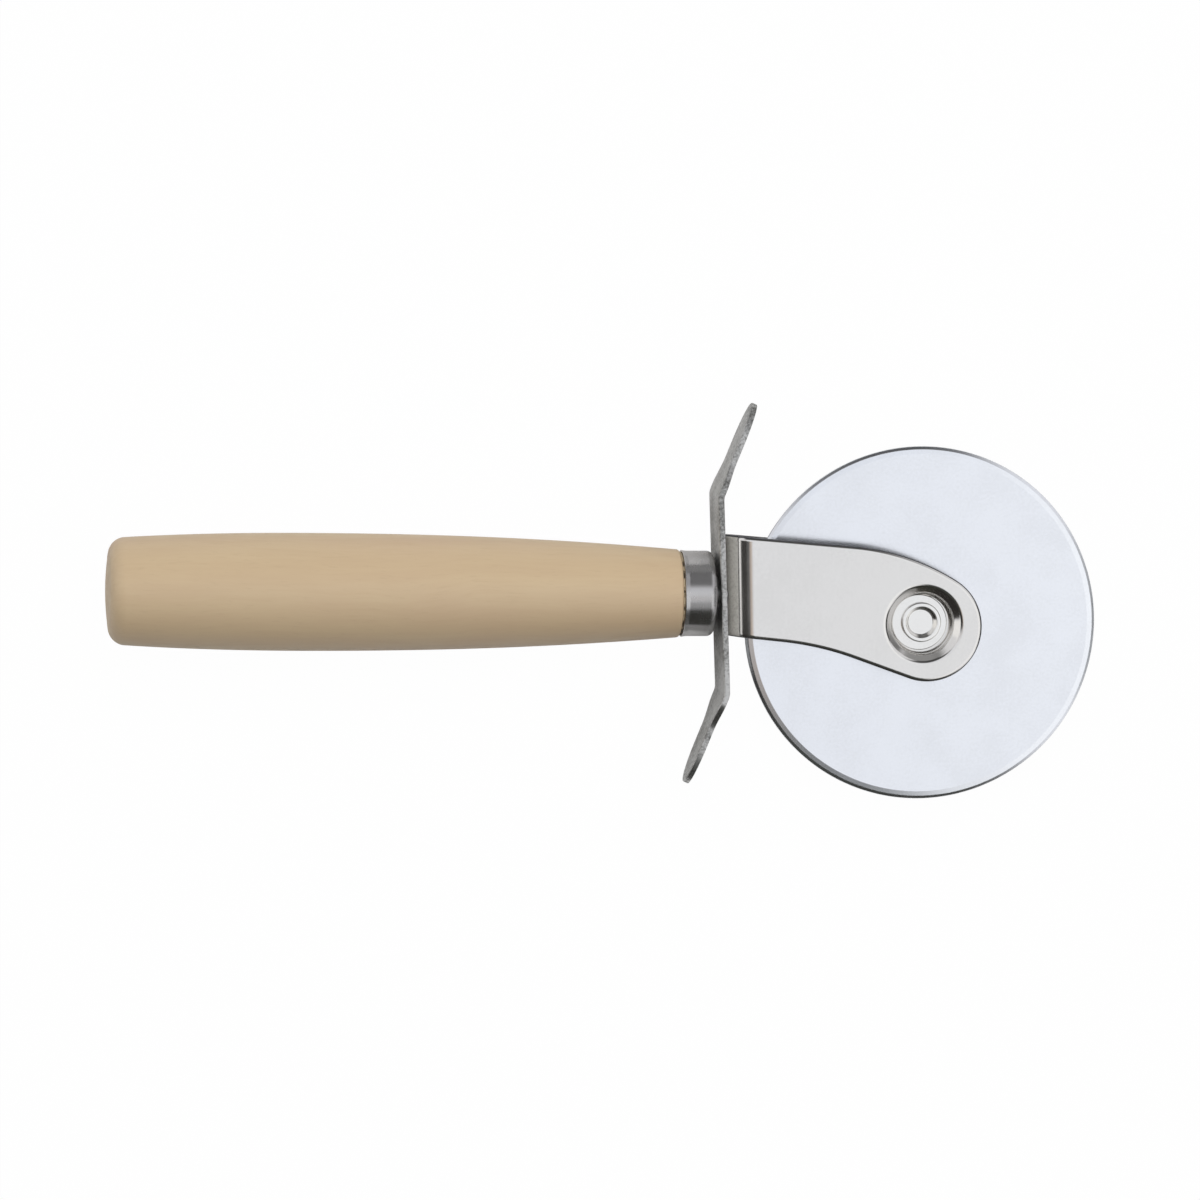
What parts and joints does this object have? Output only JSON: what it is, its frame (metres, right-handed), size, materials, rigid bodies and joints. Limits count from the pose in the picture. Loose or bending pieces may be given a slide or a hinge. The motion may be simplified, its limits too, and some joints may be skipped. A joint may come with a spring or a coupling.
{
  "type": "pizza cutter wheel",
  "caption": "Pizza cutter: bevelled steel wheel on a shoulder rivet in a dished U-shaped fork, with a bent finger guard, a short ferrule and a turned wooden handle.",
  "frame": {"origin": "under the middle of the cutter lying on its side, at the height of the handle's underside", "axes": "+X along the handle towards the wheel, +Z along the wheel's axle, +Y to the side that the wheel is not set down to"},
  "size_m": [0.1818, 0.0728, 0.0214],
  "materials": {
    "beech_wood": "lacquered pale beech",
    "ferrule_steel": "polished stainless steel",
    "tang_steel": "plain drawn steel rod",
    "guard_steel": "tumbled matte stainless steel",
    "fork_steel": "polished stainless sheet",
    "wheel_steel": "mirror polished stainless steel",
    "rivet_steel": "polished stainless steel"
  },
  "bodies": {
    "holder": {"handle": "beech_wood", "ferrule": "ferrule_steel", "tang": "tang_steel", "finger_guard": "guard_steel", "fork": "fork_steel", "axle_rivet": "rivet_steel", "rivet_washer": "rivet_steel"},
    "wheel": {"cutting_wheel": "wheel_steel"}
  },
  "joints": [
    {"name": "wheel_spin", "type": "hinge", "parent": "holder", "child": "wheel", "pos_m": [0.05835, -0.00395, 0.0107], "axis": [0, 0, 1], "continuous": true}
  ]
}
